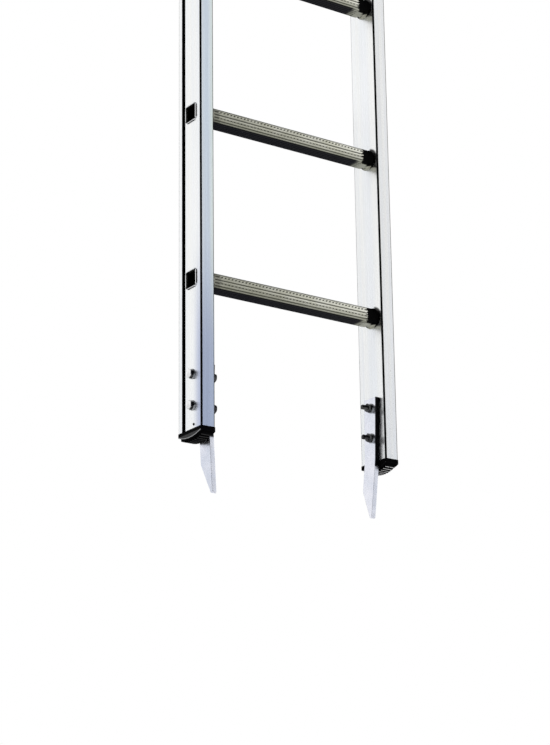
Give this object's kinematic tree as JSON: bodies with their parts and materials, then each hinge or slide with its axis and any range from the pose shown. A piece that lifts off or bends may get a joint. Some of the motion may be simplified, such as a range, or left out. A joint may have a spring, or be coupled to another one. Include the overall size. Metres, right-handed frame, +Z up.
{
  "type": "extension ladder",
  "caption": "Two-section push-up extension ladder with box stiles, hollow square rungs, rubber rocker feet, bolted ground spikes, guide brackets and swing-over rung locks.",
  "frame": {"origin": "on the ground at the level of the spike tips, midway between the stiles and midway through the depth of the two sections", "axes": "+Z up along the stiles, +X along the rungs to the right, -Y the open face of the base section, +Y the open face of the fly section"},
  "size_m": [0.3898, 0.136, 3.279],
  "materials": {
    "stile_aluminium": "mill finish extrusion, faint lengthwise die lines",
    "rung_aluminium": "mill finish tube with fine grip grooves, dulled by use",
    "foot_rubber": "moulded black rubber, satin",
    "cap_plastic": "moulded black plastic, fine grain",
    "spike_zinc": "zinc plated plate, worn and scratched",
    "bolt_steel": "dark zinc plated, slightly oiled",
    "washer_zinc": "bright zinc plated",
    "rivet_aluminium": "bare domed blind rivets",
    "guide_aluminium": "extruded bracket, tumbled and dulled",
    "lock_steel": "zinc plated laser-cut plate",
    "catch_steel": "zinc plated finger, rubbed along its edges",
    "bush_nylon": "natural nylon, satin"
  },
  "bodies": {
    "base_section": {"base_stile_left": "stile_aluminium", "base_stile_right": "stile_aluminium", "base_rung_1": "rung_aluminium", "base_rung_2": "rung_aluminium", "base_rung_3": "rung_aluminium", "base_rung_4": "rung_aluminium", "base_rung_5": "rung_aluminium", "base_rung_6": "rung_aluminium", "base_rung_7": "rung_aluminium", "base_rung_8": "rung_aluminium", "foot_left": "foot_rubber", "foot_right": "foot_rubber", "ground_spike_left": "spike_zinc", "ground_spike_right": "spike_zinc", "spike_bolts": "bolt_steel", "spike_head_washers": "washer_zinc", "spike_nut_washers": "washer_zinc", "spike_nuts": "bolt_steel", "base_guide_left": "guide_aluminium", "base_guide_right": "guide_aluminium", "base_guide_rivets": "rivet_aluminium", "base_cap_left": "cap_plastic", "base_cap_right": "cap_plastic"},
    "fly_section": {"fly_stile_left": "stile_aluminium", "fly_stile_right": "stile_aluminium", "fly_rung_1": "rung_aluminium", "fly_rung_2": "rung_aluminium", "fly_rung_3": "rung_aluminium", "fly_rung_4": "rung_aluminium", "fly_rung_5": "rung_aluminium", "fly_rung_6": "rung_aluminium", "fly_rung_7": "rung_aluminium", "fly_rung_8": "rung_aluminium", "fly_guide_left": "guide_aluminium", "fly_guide_right": "guide_aluminium", "fly_guide_rivets": "rivet_aluminium", "fly_bottom_cap_left": "cap_plastic", "fly_bottom_cap_right": "cap_plastic", "fly_top_cap_left": "cap_plastic", "fly_top_cap_right": "cap_plastic", "lock_pivot_bolts": "bolt_steel", "lock_nuts": "bolt_steel", "lock_bushes": "bush_nylon", "lock_washers": "washer_zinc"},
    "lock_left": {"rung_lock_left": "lock_steel", "catch_pin_left": "bolt_steel"},
    "catch_left": {"safety_catch_left": "catch_steel"},
    "lock_right": {"rung_lock_right": "lock_steel", "catch_pin_right": "bolt_steel"},
    "catch_right": {"safety_catch_right": "catch_steel"}
  },
  "joints": [
    {"name": "fly_slide", "type": "slide", "parent": "base_section", "child": "fly_section", "axis": [0, 0, 1], "range_m": [-0.84, 0.56]},
    {"name": "lock_left_swing", "type": "hinge", "parent": "fly_section", "child": "lock_left", "pos_m": [-0.1497, 0.031, 1.228], "axis": [1, 0, 0], "range_deg": [0, 125]},
    {"name": "catch_left_swing", "type": "hinge", "parent": "lock_left", "child": "catch_left", "pos_m": [-0.1439, 0.02183, 1.28813], "axis": [-1, 0, 0], "range_deg": [0, 155]},
    {"name": "lock_right_swing", "type": "hinge", "parent": "fly_section", "child": "lock_right", "pos_m": [0.1497, 0.031, 1.228], "axis": [1, 0, 0], "range_deg": [0, 125]},
    {"name": "catch_right_swing", "type": "hinge", "parent": "lock_right", "child": "catch_right", "pos_m": [0.1439, 0.02183, 1.28813], "axis": [-1, 0, 0], "range_deg": [0, 155]}
  ]
}
